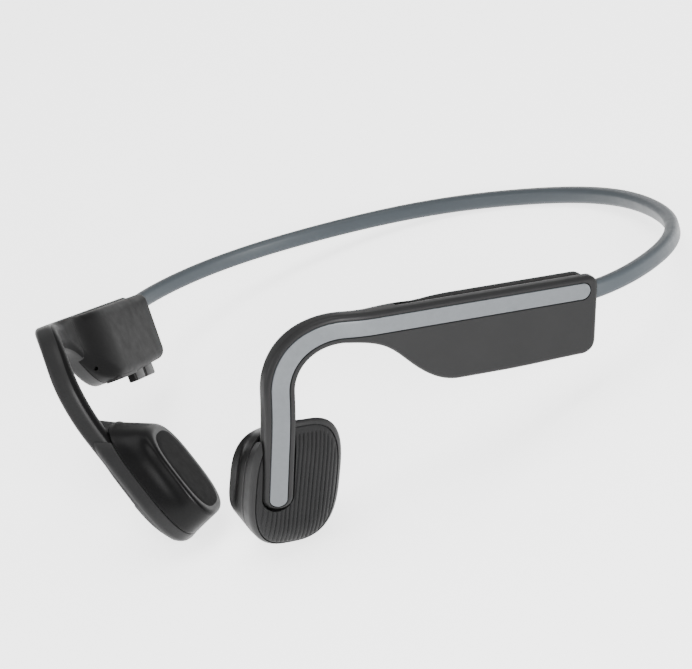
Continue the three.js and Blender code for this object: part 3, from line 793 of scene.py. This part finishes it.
def ramp(tree, value, stops):
    node = tree.nodes.new("ShaderNodeValToRGB")
    tree.links.new(value, node.inputs["Fac"])
    elements = node.color_ramp.elements
    while len(elements) < len(stops):
        elements.new(0.5)
    for element, (position, colour) in zip(elements, stops):
        element.position = position
        element.color = colour if isinstance(colour, tuple) else (colour, colour, colour, 1)
    return node.outputs["Color"]


def bump(tree, shader, height, strength):
    node = tree.nodes.new("ShaderNodeBump")
    node.inputs["Strength"].default_value = strength
    node.inputs["Distance"].default_value = GRAIN_DEPTH
    tree.links.new(height, node.inputs["Height"])
    tree.links.new(node.outputs["Normal"], shader.inputs["Normal"])


def shade(colour, factor):
    return tuple(c * factor for c in colour) + (1.0,)


def moulded(name, colour, roughness, grain=5200.0, strength=0.25, spread=0.05, specular=0.2):
    """Moulded plastic or silicone: fine spark-eroded grain, faint tone and gloss changes."""
    material, tree, shader, place = new_material(name, roughness, Specular_IOR_Level=specular)
    tone = noise(tree, place, 160.0, 4.0, 0.6)
    stops = [(0.3, shade(colour, 1 - spread)), (0.7, shade(colour, 1 + spread))]
    tree.links.new(ramp(tree, tone, stops), shader.inputs["Base Color"])
    patches = noise(tree, place, 420.0, 5.0, 0.65)
    gloss = ramp(tree, patches, [(0.3, roughness - 0.04), (0.7, roughness + 0.05)])
    tree.links.new(gloss, shader.inputs["Roughness"])
    fine = noise(tree, place, grain, 2.0, 0.6)
    bump(tree, shader, fine, strength)
    return material


def brushed(name, colour, roughness, metallic):
    """Satin metal: fine flecks in its tone, gloss and surface."""
    material, tree, shader, place = new_material(name, roughness, metallic)
    flecks = noise(tree, place, 900.0, 4.0, 0.7)
    stops = [(0.25, shade(colour, 0.9)), (0.75, shade(colour, 1.1))]
    tree.links.new(ramp(tree, flecks, stops), shader.inputs["Base Color"])
    gloss = ramp(tree, flecks, [(0.2, roughness - 0.07), (0.8, roughness + 0.08)])
    tree.links.new(gloss, shader.inputs["Roughness"])
    bump(tree, shader, flecks, 0.2)
    return material


SHELL = moulded("charcoal_shell", (0.0105, 0.0105, 0.0107), 0.4, specular=0.1)
INNER = moulded("inner_charcoal", (0.003, 0.003, 0.0031), 0.48, strength=0.08, specular=0.04)
RIBBED = moulded("ribbed_shell", (0.007, 0.007, 0.0072), 0.45, specular=0.08)
SOFT = moulded("soft_touch", (0.0016, 0.0016, 0.0017), 0.38, grain=7000, strength=0.1, specular=0.1)
PAD = moulded("contact_silicone", (0.001, 0.001, 0.0011), 0.55, grain=7000, strength=0.12, specular=0.02)
BAND_SKIN = moulded("band_silicone", (0.031, 0.037, 0.042), 0.42, grain=6500, strength=0.12, spread=0.03)
STRIP = brushed("satin_inlay", (0.072, 0.078, 0.084), 0.42, 0.3)
RUBBER = moulded("cover_rubber", (0.006, 0.006, 0.0062), 0.6)
STEEL = brushed("plated_steel", (0.55, 0.56, 0.57), 0.3, 1.0)
NICKEL = brushed("nickel", (0.5, 0.5, 0.52), 0.22, 1.0)
COPPER = brushed("enamelled_copper", (0.55, 0.2, 0.07), 0.35, 1.0)
TITANIUM = brushed("alloy_wire", (0.42, 0.41, 0.4), 0.35, 1.0)
BOARD = moulded("solder_mask", (0.01, 0.075, 0.035), 0.35, grain=1500, strength=0.1)
POUCH = brushed("foil_pouch", (0.5, 0.52, 0.54), 0.4, 0.8)
FOAM = moulded("foam", (0.03, 0.03, 0.032), 0.95, grain=2500, strength=0.8)
CLEAR = moulded("light_pipe", (0.75, 0.78, 0.8), 0.25, grain=2000, strength=0.05)


def dress(obj, material):
    obj.data.materials.clear()
    obj.data.materials.append(material)


def darken_inside(obj, side):
    """The moulded inside faces of the outer shell have the inner shell's darker finish."""
    inward = POD.to_3x3() @ Vector((0, 0, 1))
    if side == "right":
        inward.x = -inward.x
    obj.data.materials.append(INNER)
    for face in obj.data.polygons:
        if face.normal.dot(inward) > 0.5:
            face.material_index = 1


def fit(obj, material, body, slot, *nodes):
    dress(obj, material)
    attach(obj, body)
    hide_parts(*nodes)


# ---- building ----
for side in SIDES:
    body = f"{side}_side"
    shell = outer_shell(side)
    fit(shell, SHELL, body, "shell", f"{side}_outer_shell")
    darken_inside(shell, side)
    fit(inner_shell(side), INNER, body, "shell", f"{side}_inner_shell")
    fit(accent_strip(side), STRIP, body, "strip", f"{side}_accent_strip")
    fit(transducer_cover(side), SHELL, body, "shell", f"{side}_transducer_cover")
    fit(transducer_housing(side), SOFT, body, "soft", f"{side}_transducer_housing")
    fit(contact_pad(side), PAD, body, "soft", f"{side}_contact_pad")
button = ribbed_plate("left", "multifunction_button_cap")
fit(button, RIBBED, "multifunction_button", "shell", "multifunction_button")
plate = ribbed_plate("right", "right_ribbed_plate_cap")
fit(plate, RIBBED, "right_side", "shell", "right_ribbed_plate")
for name in VOLUME_CENTRES:
    fit(volume_key(name), SOFT, name, "soft", name)
fit(usb_cover(), RUBBER, "usb_cover", "rubber", "usb_cover")

BAND_PARTS = (
    ("band_sleeve", sleeve_section(), 0.7, BAND_SKIN, "band"),
    ("band_core_wire", strand_section(-0.5), 0.9, TITANIUM, "titanium"),
    ("band_cable", strand_section(0.5), 0.9, COPPER, "copper"),
)
for side, sign in (("left", 1), ("right", -1)):
    for node, section, trim, material, slot in BAND_PARTS:
        half = band_tube(node, side, section, trim)
        dress(half, material)
        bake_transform(half)
        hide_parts(node)

strap = cover_strap()
dress(strap, RUBBER)
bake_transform(strap)

INSIDE = {
    STEEL: ("vibration_plate", "yoke", "switch", "shield", "receptacle", "microphone"),
    NICKEL: ("magnet",),
    COPPER: ("coil", "lead"),
    BOARD: ("board",),
    POUCH: ("battery",),
    FOAM: ("battery_pad",),
    CLEAR: ("light_pipe",),
}
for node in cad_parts:
    for material, words in INSIDE.items():
        if any(node.endswith(word) for word in words):
            dress(bpy.data.objects[node], material)


# ---- floor, light and camera ----
CENTRE = (0.0, 0.0, 0.02)
CAMERA_LENS = 156.07
CAMERA_PLACE = (401.2, -357.4, 266.4)
CAMERA_RIGHT = (0.7341, 0.5263, -0.4291)
CAMERA_FORWARD = (-0.6785, 0.5939, -0.4324)


def floor():
    bm = bmesh.new()
    bmesh.ops.create_grid(bm, x_segments=2, y_segments=2, size=4.0)
    mesh = bpy.data.meshes.new("floor")
    bm.to_mesh(mesh)
    bm.free()
    obj = bpy.data.objects.new("floor", mesh)
    bpy.context.scene.collection.objects.link(obj)
    material, tree, shader, place = new_material("floor", 0.9)
    tone = ramp(tree, noise(tree, place, 30.0), [(0.3, 0.86), (0.7, 0.88)])
    tree.links.new(tone, shader.inputs["Base Color"])
    shader.inputs["Emission Color"].default_value = (1, 1, 1, 1)
    shader.inputs["Emission Strength"].default_value = 2.0
    dress(obj, material)


def area_light(name, place, size, power):
    data = bpy.data.lights.new(name, "AREA")
    data.shape = "DISK"
    data.size = size
    data.energy = power
    obj = bpy.data.objects.new(name, data)
    bpy.context.scene.collection.objects.link(obj)
    obj.location = place
    obj.rotation_euler = (Vector(CENTRE) - Vector(place)).to_track_quat("-Z", "Y").to_euler()


def camera():
    data = bpy.data.cameras.new("camera")
    data.sensor_width = 36.0
    data.lens = CAMERA_LENS
    data.clip_start, data.clip_end = 0.01, 20.0
    obj = bpy.data.objects.new("camera", data)
    bpy.context.scene.collection.objects.link(obj)
    forward = Vector(CAMERA_FORWARD).normalized()
    right = Vector(CAMERA_RIGHT)
    right = (right - forward * right.dot(forward)).normalized()
    up = right.cross(forward)
    turn = rest_matrix().to_3x3() @ Matrix((right, up, -forward)).transposed()
    place = rest_matrix() @ Vector(CAMERA_PLACE)
    obj.matrix_world = Matrix.Translation(place * 0.001) @ turn.to_4x4()
    bpy.context.scene.camera = obj


floor()
area_light("top_softbox", (0.1, 0.1, 1.1), 0.9, 9.0)
area_light("front_softbox", (0.75, -0.5, 0.3), 0.4, 19.0)
area_light("left_softbox", (-0.6, -0.7, 0.5), 0.5, 4.0)
area_light("rear_softbox", (0.1, 0.9, 0.6), 0.6, 1.0)
world = bpy.data.worlds.new("world")
world.use_nodes = True
world.node_tree.nodes["Background"].inputs["Color"].default_value = (1, 1, 1, 1)
world.node_tree.nodes["Background"].inputs["Strength"].default_value = 0.8
bpy.context.scene.world = world
camera()
